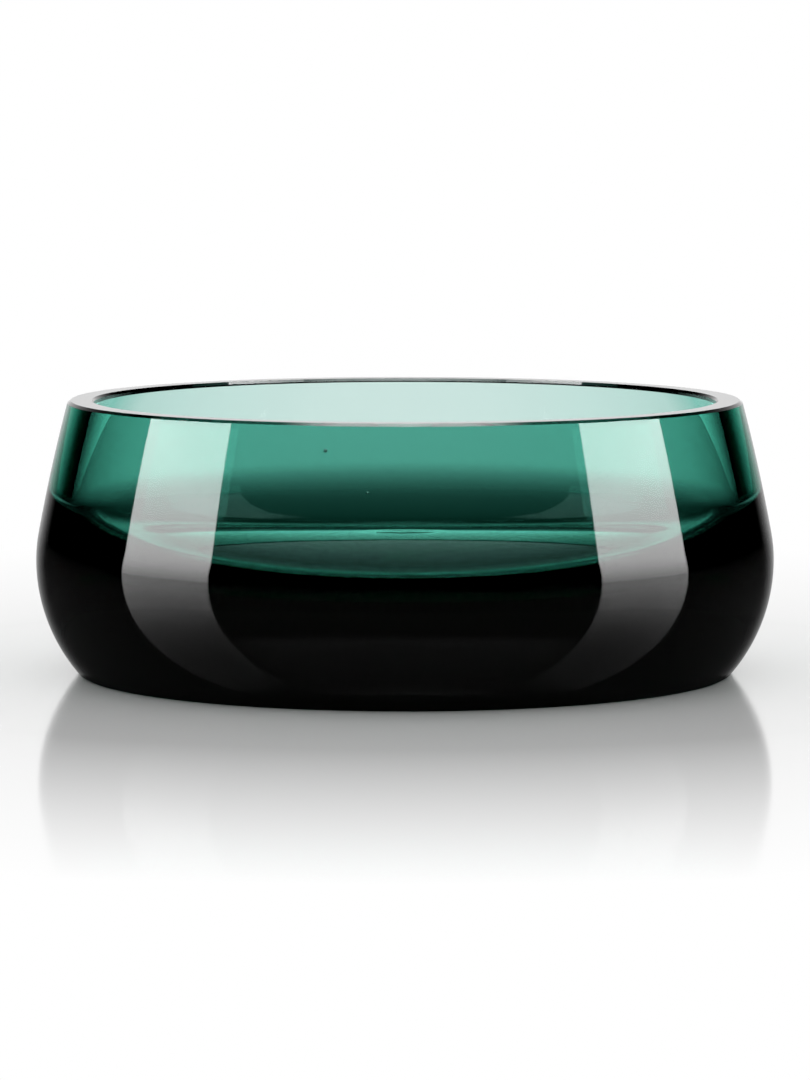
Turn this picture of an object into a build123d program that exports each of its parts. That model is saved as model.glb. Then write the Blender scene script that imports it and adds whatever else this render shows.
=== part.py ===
"""A heavy art glass bowl, blown in a turned mould from three gathers of one dark teal glass.

A bowl this heavy can't be picked up in one dip of the blowing iron. The first gather is blown to a
bubble, which becomes the lining of the bowl. A second and a third gather are laid over it, and most
of each runs to the bottom of the mould, so the sham (the solid bottom) is thick and the wall is thin.
The gathers fuse, but each stays a shell of its own, joined face to face to the next.
After annealing, the rim is cut off flat, bevelled on both arrises and polished. The underside is
ground flat, with a shallow polished hollow in the middle, so that the bowl stands on a broad ring.

Frame: millimetres, +Z up, origin at the centre of the ground underside. Z is the axis of the bowl.
"""

import math
import os

from build123d import *

# Outside, as blown
belly_radius = 125.0  # widest radius
belly_height = 38.5  # height of the widest circle
height = 92.7  # underside to rim
undercut_arc = 58.2  # radius of the arc from the belly down to the foot
shoulder_arc = 51.0  # radius of the arc from the belly up to the shoulder
shoulder_rise = 9.4  # from the belly up to where the shoulder passes into the wall
wall_arc = 610.0  # radius of the long, nearly straight arc of the wall

# Cavity
wall = 8.6  # thickness of the finished wall, square to its surface
sham = 39.0  # thickness of the solid bottom in the middle
floor_arc = 580.0  # the cavity's floor is crowned to this radius
cavity_corner = 24.0  # radius between the cavity's wall and floor
dimple_radius = 10.0  # shallow dimple in the middle of the floor, where the hot glass sank a little
dimple_depth = 0.8

# The gathers, from the cavity outwards. The third takes what the first two leave.
first_wall, second_wall = 2.5, 2.9
first_sham, second_sham = 7.5, 12.5
first_corner_growth, second_corner_growth = 6.0, 9.0  # how much rounder each joint's corner is

# Cold work
rim_bevel = 0.9  # both arrises of the cut rim
foot_bevel = 0.7  # round the ground underside
hollow_radius = 32.0  # polished hollow in the underside
hollow_depth = 1.2

# Centres of the outside arcs in the (radius, height) half plane. Each meets the next tangentially.
undercut_centre = (belly_radius - undercut_arc, belly_height)
shoulder_centre = (belly_radius - shoulder_arc, belly_height)
shoulder_turn = math.asin(shoulder_rise / shoulder_arc)
wall_centre = (
    shoulder_centre[0] - (wall_arc - shoulder_arc) * math.cos(shoulder_turn),
    shoulder_centre[1] - (wall_arc - shoulder_arc) * math.sin(shoulder_turn),
)


def on_arc(centre, radius, at_height):
    """The point at this height on the outer side of an arc in the half plane."""
    return (centre[0] + math.sqrt(radius**2 - (at_height - centre[1]) ** 2), at_height)


def cap_radius(half_width, rise):
    """Radius of the sphere whose cap is this wide and this high."""
    return (half_width**2 + rise**2) / (2 * rise)


def mass_section(inset, start):
    """Half section of the outside shape, drawn in by inset all round, from the start height up."""
    foot = on_arc(undercut_centre, undercut_arc - inset, start)
    belly = (belly_radius - inset, belly_height)
    shoulder = (
        shoulder_centre[0] + (shoulder_arc - inset) * math.cos(shoulder_turn),
        shoulder_centre[1] + (shoulder_arc - inset) * math.sin(shoulder_turn),
    )
    rim = on_arc(wall_centre, wall_arc - inset, height)
    with BuildSketch(Plane.XZ) as section:
        with BuildLine():
            Line((0, start), foot)
            RadiusArc(foot, belly, -(undercut_arc - inset))
            RadiusArc(belly, shoulder, -(shoulder_arc - inset))
            RadiusArc(shoulder, rim, -(wall_arc - inset))
            Polyline(rim, (0, height), (0, start))
        make_face()
    return section.sketch


def cup_section(inset, middle, corner):
    """Half section of the hollow that lies inset within the outside, over a crowned floor.

    The floor is at the middle height on the axis, and rounded into the wall by the corner radius.
    """
    with BuildSketch(Plane.XZ) as section:
        add(mass_section(inset, middle / 4))
        with Locations((0, middle - floor_arc)):
            Circle(floor_arc, mode=Mode.SUBTRACT)
        floor_edge = section.vertices().group_by(Axis.Z)[0].sort_by(Axis.X)[-1]
        fillet(floor_edge, corner)
    return section.sketch


# The surfaces between the pieces, as half sections of what lies inside them
cavity = cup_section(wall, sham, cavity_corner)
first_joint = cup_section(
    wall - first_wall, sham - first_sham, cavity_corner + first_corner_growth
)
second_joint = cup_section(
    wall - first_wall - second_wall,
    sham - first_sham - second_sham,
    cavity_corner + first_corner_growth + second_corner_growth,
)

# First gather: the lining of the bowl, which carries the inner arris of the rim
with BuildPart() as first_gather:
    with BuildSketch(Plane.XZ):
        add(first_joint)
        add(cavity, mode=Mode.SUBTRACT)
    revolve(axis=Axis.Z)
    rim_edges = first_gather.edges().group_by(Axis.Z)[-1].sort_by(SortBy.LENGTH)
    chamfer(rim_edges[0], rim_bevel)
    dimple_arc = cap_radius(dimple_radius, dimple_depth)
    with Locations((0, 0, sham - dimple_depth + dimple_arc)):
        Sphere(dimple_arc, mode=Mode.SUBTRACT)

# Second gather: the middle layer, open to view only in the cut rim
with BuildPart() as second_gather:
    with BuildSketch(Plane.XZ):
        add(second_joint)
        add(first_joint, mode=Mode.SUBTRACT)
    revolve(axis=Axis.Z)

# Third gather: the outside of the bowl, with the outer arris, the foot and the polished hollow
with BuildPart() as third_gather:
    with BuildSketch(Plane.XZ):
        add(mass_section(0, 0))
        add(second_joint, mode=Mode.SUBTRACT)
    revolve(axis=Axis.Z)
    rim_edges = third_gather.edges().group_by(Axis.Z)[-1].sort_by(SortBy.LENGTH)
    chamfer(rim_edges[-1], rim_bevel)
    foot_edge = third_gather.edges().group_by(Axis.Z)[0].sort_by(SortBy.LENGTH)[-1]
    chamfer(foot_edge, foot_bevel)
    hollow_arc = cap_radius(hollow_radius, hollow_depth)
    with Locations((0, 0, hollow_depth - hollow_arc)):
        Sphere(hollow_arc, mode=Mode.SUBTRACT)

os.makedirs("parts", exist_ok=True)
for name, piece in (
    ("first_gather", first_gather),
    ("second_gather", second_gather),
    ("third_gather", third_gather),
):
    piece.part.label = name
    export_step(piece.part, f"parts/{name}.step")
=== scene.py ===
import math

import bpy
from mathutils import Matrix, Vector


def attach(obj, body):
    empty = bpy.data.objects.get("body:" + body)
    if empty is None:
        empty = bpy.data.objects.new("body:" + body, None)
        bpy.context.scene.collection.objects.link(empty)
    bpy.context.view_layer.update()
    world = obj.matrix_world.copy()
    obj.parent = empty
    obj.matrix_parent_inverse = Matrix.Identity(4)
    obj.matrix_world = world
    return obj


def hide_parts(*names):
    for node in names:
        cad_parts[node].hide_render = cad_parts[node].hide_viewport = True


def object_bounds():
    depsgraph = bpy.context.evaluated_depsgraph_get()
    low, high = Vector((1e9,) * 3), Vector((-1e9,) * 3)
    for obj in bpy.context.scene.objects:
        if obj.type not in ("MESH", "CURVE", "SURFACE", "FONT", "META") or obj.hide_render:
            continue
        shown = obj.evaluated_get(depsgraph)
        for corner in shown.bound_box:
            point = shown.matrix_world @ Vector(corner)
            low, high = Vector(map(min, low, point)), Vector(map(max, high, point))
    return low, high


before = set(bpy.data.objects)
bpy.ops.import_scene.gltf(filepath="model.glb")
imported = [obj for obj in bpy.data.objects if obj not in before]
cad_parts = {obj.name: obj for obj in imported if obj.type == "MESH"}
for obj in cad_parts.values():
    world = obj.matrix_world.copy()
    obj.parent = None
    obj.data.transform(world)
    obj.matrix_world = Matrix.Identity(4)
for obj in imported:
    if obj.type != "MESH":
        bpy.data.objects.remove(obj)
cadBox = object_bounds()
print("frame loaded:", sorted(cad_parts))

mm = 0.001
glassNodes = ["first_gather", "second_gather", "third_gather"]
lowCorner, highCorner = cadBox

# Outline of the bowl in mm, one turned shape round all three gathers
bowl = {
    "name": "bowl_glass",
    "bellyRadius": (highCorner[0] - lowCorner[0]) / 2 / mm,
    "height": highCorner[2] / mm,
    "bellyHeight": 38.5,
    "undercutArc": 58.2,   # belly down to the foot
    "shoulderArc": 51.0,   # belly up to the shoulder
    "shoulderRise": 9.4,
    "wallArc": 610.0,      # the long wall
    "wall": 8.6,
    "sham": 39.0,          # solid bottom, in the middle
    "floorArc": 580.0,     # crown of the cavity floor
    "cornerRadius": 24.0,  # cavity wall to floor
    "dimpleRadius": 10.0,  # where the hot floor sank a little
    "dimpleDepth": 0.8,
    "dimpleBlend": 1.7,    # how far the dimple runs out, in dimple radii
    "rimBevel": 0.9,
    "footBevel": 0.7,
    "hollowRadius": 32.0,
    "hollowDepth": 1.2,
    # spacing of the rings, mm
    "arcStep": 1.6,
    "rimStep": 1.5,
    "floorStep": 2.5,
    "hollowStep": 4.0,
    "footStep": 6.0,
    "dimpleRings": 24,
    "turns": 384,          # facets round the bowl
    "smoothBelow": 20.0,   # degrees; sharper edges than this stay crisp
}


def selectNothing():
    if bpy.context.object and bpy.context.object.mode != "OBJECT":
        bpy.ops.object.mode_set(mode="OBJECT")
    bpy.ops.object.select_all(action="DESELECT")


def arc(centre, radius, start, stop, step):
    # points along an arc in the half plane, angles in radians from +X, first one left out
    count = max(2, math.ceil(abs(stop - start) * radius / step))
    turn = (stop - start) / count
    return [
        (centre[0] + radius * math.cos(start + turn * k), centre[1] + radius * math.sin(start + turn * k))
        for k in range(1, count + 1)
    ]


def run(start, stop, step):
    # points along a straight stretch, first one left out
    count = max(1, math.ceil(math.dist(start, stop) / step))
    return [
        (start[0] + (stop[0] - start[0]) * k / count, start[1] + (stop[1] - start[1]) * k / count)
        for k in range(1, count + 1)
    ]


def cornerCentre(wallCentre, fromWall, floorCentre, fromFloor):
    # where a circle sits that touches both the wall arc and the floor arc
    across = math.dist(wallCentre, floorCentre)
    bearing = math.atan2(floorCentre[1] - wallCentre[1], floorCentre[0] - wallCentre[0])
    angle = math.acos((across**2 + fromWall**2 - fromFloor**2) / (2 * across * fromWall))
    return (wallCentre[0] + fromWall * math.cos(bearing + angle), wallCentre[1] + fromWall * math.sin(bearing + angle))


def outsideSection(b, wallCentre, shoulder, turn):
    # from the middle of the underside, out and up the outside to the rim
    step = b["arcStep"]
    paintedShadeTable = (b["bellyRadius"] - b["undercutArc"], b["bellyHeight"])
    hollowArc = (b["hollowRadius"] ** 2 + b["hollowDepth"] ** 2) / (2 * b["hollowDepth"])
    hollowTurn = math.asin(b["hollowRadius"] / hollowArc)
    points = [(0.0, b["hollowDepth"])]
    hollowCentre = (0, b["hollowDepth"] - hollowArc)
    points += arc(hollowCentre, hollowArc, math.pi / 2, math.pi / 2 - hollowTurn, b["hollowStep"])
    foot = paintedShadeTable[0] + b["undercutArc"] * math.cos(math.asin(b["bellyHeight"] / b["undercutArc"]))
    bevel = b["footBevel"]
    points += run(points[-1], (foot - bevel, 0), b["footStep"])
    bevelAngle = -math.asin((b["bellyHeight"] - bevel) / b["undercutArc"])
    points.append((paintedShadeTable[0] + b["undercutArc"] * math.cos(bevelAngle), bevel))
    points += arc(paintedShadeTable, b["undercutArc"], bevelAngle, 0, step)
    points += arc(shoulder, b["shoulderArc"], 0, turn, step)
    rimTurn = math.asin((b["height"] - b["rimBevel"] - wallCentre[1]) / b["wallArc"])
    return points + arc(wallCentre, b["wallArc"], turn, rimTurn, step)


def bowlSection(b):
    # the whole section: up the outside, over the rim and down to the middle of the cavity floor
    step = b["arcStep"]
    shoulder = (b["bellyRadius"] - b["shoulderArc"], b["bellyHeight"])
    turn = math.asin(b["shoulderRise"] / b["shoulderArc"])
    past = b["wallArc"] - b["shoulderArc"]
    wallCentre = (shoulder[0] - past * math.cos(turn), shoulder[1] - past * math.sin(turn))
    points = outsideSection(b, wallCentre, shoulder, turn)
    bevel = b["rimBevel"]
    innerArc = b["wallArc"] - b["wall"]
    rimRise = b["height"] - wallCentre[1]
    rimOut = wallCentre[0] + math.sqrt(b["wallArc"] ** 2 - rimRise**2)
    rimIn = wallCentre[0] + math.sqrt(innerArc**2 - rimRise**2)
    points.append((rimOut - bevel, b["height"]))
    points += run(points[-1], (rimIn + bevel, b["height"]), b["rimStep"])
    innerTurn = math.asin((rimRise - bevel) / innerArc)
    points.append((wallCentre[0] + innerArc * math.cos(innerTurn), b["height"] - bevel))
    floorCentre = (0.0, b["sham"] - b["floorArc"])
    corner = cornerCentre(wallCentre, innerArc - b["cornerRadius"], floorCentre, b["floorArc"] + b["cornerRadius"])
    wallEnd = math.atan2(corner[1] - wallCentre[1], corner[0] - wallCentre[0])
    floorEnd = math.atan2(floorCentre[1] - corner[1], floorCentre[0] - corner[0])
    points += arc(wallCentre, innerArc, innerTurn, wallEnd, step)
    points += arc(corner, b["cornerRadius"], wallEnd, floorEnd, step)
    edge = math.atan2(points[-1][1] - floorCentre[1], points[-1][0])
    lip = math.acos(b["dimpleBlend"] * b["dimpleRadius"] / b["floorArc"])
    points += arc(floorCentre, b["floorArc"], edge, lip, b["floorStep"])
    reach = points[-1][0]
    for k in range(1, b["dimpleRings"] + 1):  # the dimple is rounded into the floor
        r = reach * (1 - k / b["dimpleRings"])
        crown = math.sqrt(b["floorArc"] ** 2 - r**2) + floorCentre[1]
        points.append((r, crown - b["dimpleDepth"] * (0.5 + 0.5 * math.cos(math.pi * r / reach))))
    return points


def makeBowl(b):
    section = [(r * mm, z * mm) for r, z in bowlSection(b)]
    selectNothing()
    bpy.ops.mesh.primitive_plane_add(size=0.001, location=(0, 0, 0))
    piece = bpy.context.object
    piece.name = b["name"]
    piece.data.name = b["name"]
    bpy.ops.object.mode_set(mode="EDIT")
    bpy.ops.mesh.select_all(action="SELECT")
    bpy.ops.mesh.merge(type="CENTER")
    bpy.ops.transform.translate(value=(section[0][0], 0, section[0][1]))
    here = section[0]
    for point in section[1:]:  # the section is drawn point by point, then spun
        step = (point[0] - here[0], 0, point[1] - here[1])
        bpy.ops.mesh.extrude_vertices_move(TRANSFORM_OT_translate={"value": step})
        here = point
    bpy.ops.mesh.select_all(action="SELECT")
    bpy.ops.mesh.spin(steps=b["turns"], angle=math.tau, center=(0, 0, 0), axis=(0, 0, 1))
    bpy.ops.mesh.select_all(action="SELECT")
    bpy.ops.mesh.remove_doubles(threshold=0.01 * mm)
    bpy.ops.mesh.select_all(action="SELECT")
    bpy.ops.mesh.normals_make_consistent(inside=False)
    bpy.ops.object.mode_set(mode="OBJECT")
    bpy.ops.object.shade_smooth_by_angle(angle=math.radians(b["smoothBelow"]))
    return piece


# Air seeds, tiny bubbles caught in the front wall: x, y, z and radius in mm
seeds = {
    "spots": [(-25.0, -109.0, 83.5, 0.6), (-11.7, -112.0, 70.2, 0.5)],
    "subdivisions": 3,
}


def addSeeds(piece, s):
    for x, y, z, radius in s["spots"]:
        selectNothing()
        bpy.ops.mesh.primitive_ico_sphere_add(
            subdivisions=s["subdivisions"], radius=radius * mm, location=(x * mm, y * mm, z * mm)
        )
        bpy.ops.object.mode_set(mode="EDIT")
        bpy.ops.mesh.flip_normals()  # a void, so its faces look into the air
        bpy.ops.mesh.faces_shade_smooth()
        bpy.ops.object.mode_set(mode="OBJECT")
        piece.select_set(True)
        bpy.context.view_layer.objects.active = piece
        bpy.ops.object.join()
    selectNothing()


def linear(hexColour):
    # sRGB hex to the linear colour that the shaders take
    out = []
    for k in (0, 2, 4):
        c = int(hexColour[k : k + 2], 16) / 255
        out.append(c / 12.92 if c <= 0.04045 else ((c + 0.055) / 1.055) ** 2.4)
    return (*out, 1)


def addNode(tree, kind, settings=None, inputs=None, links=None):
    # one node with its settings, socket values and incoming links, from a socket or a node's first output
    node = tree.nodes.new(kind)
    for name, value in (settings or {}).items():
        setattr(node, name, value)
    for name, value in (inputs or {}).items():
        node.inputs[name].default_value = value
    for name, source in (links or {}).items():
        socket = source.outputs[0] if hasattr(source, "outputs") else source
        tree.links.new(socket, node.inputs[name])
    return node


glass = {
    "ior": 1.52,
    "roughness": 0.0,  # fire polished
    "absorption": (135.0, 46.0, 61.0),  # per metre, red green blue
    "headroom": 1.05,  # keeps every channel of the volume colour above zero
}


def tealGlass(g):
    # Soda-lime glass coloured in the mass: clear and hard at the surface, pale teal through one wall,
    # deep green through two and black through the solid bottom
    material = bpy.data.materials.new("mass_coloured_soda_lime_glass")
    material.use_nodes = True
    tree = material.node_tree
    tree.nodes.clear()
    density = max(g["absorption"]) * g["headroom"]
    colour = [1 - a / density for a in g["absorption"]] + [1]
    surface = addNode(
        tree,
        "ShaderNodeBsdfPrincipled",
        inputs={
            "Base Color": (1, 1, 1, 1),
            "Roughness": g["roughness"],
            "IOR": g["ior"],
            "Transmission Weight": 1.0,
        },
    )
    volume = addNode(tree, "ShaderNodeVolumeAbsorption", inputs={"Color": colour, "Density": density})
    addNode(tree, "ShaderNodeOutputMaterial", links={"Surface": surface, "Volume": volume})
    return material


piece = makeBowl(bowl)
addSeeds(piece, seeds)
print("air seeds:", len(seeds["spots"]))
piece.data.materials.clear()
piece.data.materials.append(tealGlass(glass))
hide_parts(*glassNodes)
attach(piece, "root")
print("bowl:", len(piece.data.polygons), "faces")

# A glossy table top that dies away into white, with a painted pink glow on it behind the bowl; lengths in metres
table = {
    "size": 8.0,
    "drop": 0.00002,
    "colour": "f4f4f4",
    "roughness": 0.08,
    "ior": 1.5,
    "shineFrom": 0.2,
    "shineTo": 0.46,
    "paintedShadeColour": "404040",  # painted shade: the table is dark grey for rays from the glass, pale for the camera
    "underRoughness": 0.06,
    "underIor": 1.2,
    # painted glow: a pink patch behind the bowl that shines, though it is no lamp, only for rays through the glass
    "paintedGlowColour": "ffcbd2",
    "paintedGlowStrength": 2.1,
    "paintedGlowHalfWidth": (0.26, 0.42),  # full to gone
    "paintedGlowBehind": (0.22, 0.42),     # gone to full
}


def makeTable(t):
    selectNothing()
    bpy.ops.mesh.primitive_plane_add(size=t["size"], location=(0, 0, -t["drop"]))
    floor = bpy.context.object
    floor.name = "table"
    # lacquered board: a soft pale body under a clear coat that mirrors the bowl
    material = bpy.data.materials.new("lacquered_white_board")
    material.use_nodes = True
    tree = material.node_tree
    tree.nodes.clear()
    lacquer = addNode(
        tree,
        "ShaderNodeBsdfPrincipled",
        inputs={"Base Color": linear(t["colour"]), "Roughness": t["roughness"], "IOR": t["ior"]},
    )
    where = addNode(tree, "ShaderNodeTexCoord")
    far = addNode(tree, "ShaderNodeVectorMath", {"operation": "LENGTH"}, links={0: where.outputs["Object"]})
    fade = addNode(
        tree, "ShaderNodeMapRange", inputs={1: t["shineTo"], 2: t["shineFrom"]}, links={0: far.outputs["Value"]}
    )
    white = addNode(tree, "ShaderNodeEmission", inputs={"Strength": 1.0})
    seen = addNode(tree, "ShaderNodeMixShader", links={0: fade, 1: white, 2: lacquer})
    # the glass sees the table in painted shade, dark grey, so mostly its shine
    paintedShadeTable = addNode(
        tree,
        "ShaderNodeBsdfPrincipled",
        inputs={"Base Color": linear(t["paintedShadeColour"]), "Roughness": t["underRoughness"], "IOR": t["underIor"]},
    )
    # painted glow: a pink patch on the table that shines only for rays through a single wall, so over the front rim
    ray = addNode(tree, "ShaderNodeLightPath")
    single = addNode(
        tree, "ShaderNodeMapRange", inputs={1: 2.6, 2: 2.4}, links={0: ray.outputs["Transmission Depth"]}
    )
    parts = addNode(tree, "ShaderNodeSeparateXYZ", links={0: where.outputs["Object"]})
    aside = addNode(tree, "ShaderNodeMath", {"operation": "ABSOLUTE"}, links={0: parts.outputs["X"]})
    inner, outer = t["paintedGlowHalfWidth"]
    middle = addNode(tree, "ShaderNodeMapRange", inputs={1: outer, 2: inner}, links={0: aside})
    near, full = t["paintedGlowBehind"]
    behind = addNode(tree, "ShaderNodeMapRange", inputs={1: near, 2: full}, links={0: parts.outputs["Y"]})
    paintedGlow = addNode(tree, "ShaderNodeMath", {"operation": "MULTIPLY"}, links={0: middle, 1: behind})
    paintedGlow = addNode(tree, "ShaderNodeMath", {"operation": "MULTIPLY"}, links={0: paintedGlow, 1: single})
    paintedGlow = addNode(
        tree, "ShaderNodeMath", {"operation": "MULTIPLY"}, links={0: paintedGlow, 1: ray.outputs["Is Transmission Ray"]}
    )
    paintedGlowEmission = addNode(tree, "ShaderNodeEmission", inputs={"Color": linear(t["paintedGlowColour"]), "Strength": t["paintedGlowStrength"]})
    paintedForGlass = addNode(tree, "ShaderNodeMixShader", links={0: paintedGlow, 1: paintedShadeTable, 2: paintedGlowEmission})
    surface = addNode(
        tree, "ShaderNodeMixShader", links={0: ray.outputs["Is Camera Ray"], 1: paintedForGlass, 2: seen}
    )
    addNode(tree, "ShaderNodeOutputMaterial", links={"Surface": surface})
    floor.data.materials.append(material)


makeTable(table)
print("table:", table["size"], "m square")

# Studio lights; azimuth from the camera's side round to 180 behind the bowl, angles in degrees
studio = {
    "softbox": 9.0,  # a tall softbox on each side
    "softboxFrom": 62.6,
    "softboxTo": 97.2,
    "softboxEdge": 0.3,
    "softboxTop": 60.0,
    "softboxTopFade": 5.0,
    "softboxLow": 0.35,  # share of its strength left at the horizon
    "softboxBright": 15.0,  # elevation of full strength
    "deepShare": 0.5,  # share left at a second reflection
    "throughShare": 0.12,  # share seen through the glass
    "backFrom": 148.0,  # white backdrop, gone to full
    "backTo": 176.0,
    "backTop": (10.0, 24.0),  # elevations between which it falls off
    "backHigh": 0.6,  # share left above that
    "backThrough": 1.5,  # gain through the glass
    "over": 3.2,  # overhead front light
    "overFrom": 30.0,
    "overTo": 37.0,
    "overAside": (45.0, 75.0),
    "zenith": 6.0,  # light straight above
    "zenithFrom": 66.0,
    "zenithTo": 76.0,
    "fill": 0.9,
}


def makeStudio(s):
    world = bpy.data.worlds.new("studio")
    bpy.context.scene.world = world
    world.use_nodes = True
    tree = world.node_tree
    tree.nodes.clear()
    # direction as azimuth and elevation
    where = addNode(tree, "ShaderNodeTexCoord")
    parts = addNode(tree, "ShaderNodeSeparateXYZ", links={0: where.outputs["Generated"]})
    toCamera = addNode(tree, "ShaderNodeMath", {"operation": "MULTIPLY"}, {1: -1.0}, {0: parts.outputs["Y"]})
    across = addNode(tree, "ShaderNodeMath", {"operation": "ABSOLUTE"}, links={0: parts.outputs["X"]})
    azimuth = addNode(tree, "ShaderNodeMath", {"operation": "ARCTAN2"}, links={0: across, 1: toCamera})
    azimuth = addNode(tree, "ShaderNodeMath", {"operation": "DEGREES"}, links={0: azimuth})
    elevation = addNode(tree, "ShaderNodeMath", {"operation": "ARCSINE"}, links={0: parts.outputs["Z"]})
    elevation = addNode(tree, "ShaderNodeMath", {"operation": "DEGREES"}, links={0: elevation})
    ray = addNode(tree, "ShaderNodeLightPath")
    depth = ray.outputs["Transmission Depth"]  # 0 until a ray has been in the glass
    smooth = {"interpolation_type": "SMOOTHSTEP"}

    # softboxes
    edge = s["softboxEdge"]
    box = addNode(
        tree, "ShaderNodeMapRange", inputs={1: s["softboxFrom"] - edge, 2: s["softboxFrom"] + edge}, links={0: azimuth}
    )
    ends = [
        ({1: s["softboxTo"] + edge, 2: s["softboxTo"] - edge}, azimuth),
        ({1: s["softboxTop"] + s["softboxTopFade"], 2: s["softboxTop"] - s["softboxTopFade"]}, elevation),
        ({2: s["softboxBright"], 3: s["softboxLow"] * s["softbox"], 4: s["softbox"]}, elevation),
        ({3: 1.0, 4: s["throughShare"]}, depth),
    ]
    for span, value in ends:
        share = addNode(tree, "ShaderNodeMapRange", inputs=span, links={0: value})
        box = addNode(tree, "ShaderNodeMath", {"operation": "MULTIPLY"}, links={0: box, 1: share})

    # backdrop
    back = addNode(tree, "ShaderNodeMapRange", smooth, {1: s["backFrom"], 2: s["backTo"]}, {0: azimuth})
    low, high = s["backTop"]
    fall = addNode(tree, "ShaderNodeMapRange", smooth, {1: high, 2: low, 3: s["backHigh"]}, {0: elevation})
    back = addNode(tree, "ShaderNodeMath", {"operation": "MULTIPLY"}, links={0: back, 1: fall})
    gain = addNode(tree, "ShaderNodeMapRange", inputs={3: 1.0, 4: s["backThrough"]}, links={0: depth})
    back = addNode(tree, "ShaderNodeMath", {"operation": "MULTIPLY"}, links={0: back, 1: gain})

    # overhead lights, only in the outer faces
    over = addNode(
        tree, "ShaderNodeMapRange", smooth, {1: s["overFrom"], 2: s["overTo"], 4: s["over"]}, {0: elevation}
    )
    full, gone = s["overAside"]
    front = addNode(tree, "ShaderNodeMapRange", smooth, {1: gone, 2: full}, {0: azimuth})
    over = addNode(tree, "ShaderNodeMath", {"operation": "MULTIPLY"}, links={0: over, 1: front})
    zenith = addNode(
        tree, "ShaderNodeMapRange", smooth, {1: s["zenithFrom"], 2: s["zenithTo"], 4: s["zenith"]}, {0: elevation}
    )
    over = addNode(tree, "ShaderNodeMath", {"operation": "ADD"}, links={0: over, 1: zenith})
    outer = addNode(tree, "ShaderNodeMapRange", inputs={3: 1.0, 4: 0.0}, links={0: depth})
    over = addNode(tree, "ShaderNodeMath", {"operation": "MULTIPLY"}, links={0: over, 1: outer})

    # what reflections and what views through the glass receive
    shallow = addNode(
        tree, "ShaderNodeMapRange", inputs={1: 2.5, 2: 1.5, 3: s["deepShare"]}, links={0: ray.outputs["Glossy Depth"]}
    )
    reflected = addNode(tree, "ShaderNodeMath", {"operation": "MULTIPLY_ADD"}, links={0: box, 1: shallow, 2: back})
    reflected = addNode(tree, "ShaderNodeMath", {"operation": "ADD"}, links={0: reflected, 1: over})
    through = addNode(tree, "ShaderNodeMath", {"operation": "ADD"}, links={0: box, 1: back})
    light = addNode(
        tree,
        "ShaderNodeMath",
        {"operation": "MULTIPLY_ADD"},
        {1: s["fill"]},
        {0: ray.outputs["Is Diffuse Ray"], 2: ray.outputs["Is Camera Ray"]},
    )
    for kind, value in (("Is Glossy Ray", reflected), ("Is Transmission Ray", through)):
        light = addNode(
            tree, "ShaderNodeMath", {"operation": "MULTIPLY_ADD"}, links={0: ray.outputs[kind], 1: value, 2: light}
        )
    sky = addNode(tree, "ShaderNodeBackground", inputs={"Color": (1, 1, 1, 1)}, links={"Strength": light})
    addNode(tree, "ShaderNodeOutputWorld", links={"Surface": sky})


makeStudio(studio)
print("studio lights set")

# A long lens a little above the rim; metres, degrees and millimetres of focal length
camera = {
    "distance": 1.8474,
    "height": 0.22184,
    "pitch": 84.522,
    "lens": 182.2,
    "sensor": 36,
    "farClip": 50,
}


def makeCamera(c):
    data = bpy.data.cameras.new("camera")
    data.lens = c["lens"]
    data.sensor_width = c["sensor"]
    data.clip_end = c["farClip"]
    holder = bpy.data.objects.new("camera", data)
    holder.location = (0, -c["distance"], c["height"])
    holder.rotation_euler = (math.radians(c["pitch"]), 0, 0)
    bpy.context.scene.collection.objects.link(holder)
    bpy.context.scene.camera = holder


makeCamera(camera)
bpy.context.scene.view_settings.view_transform = "Standard"
print("camera set")
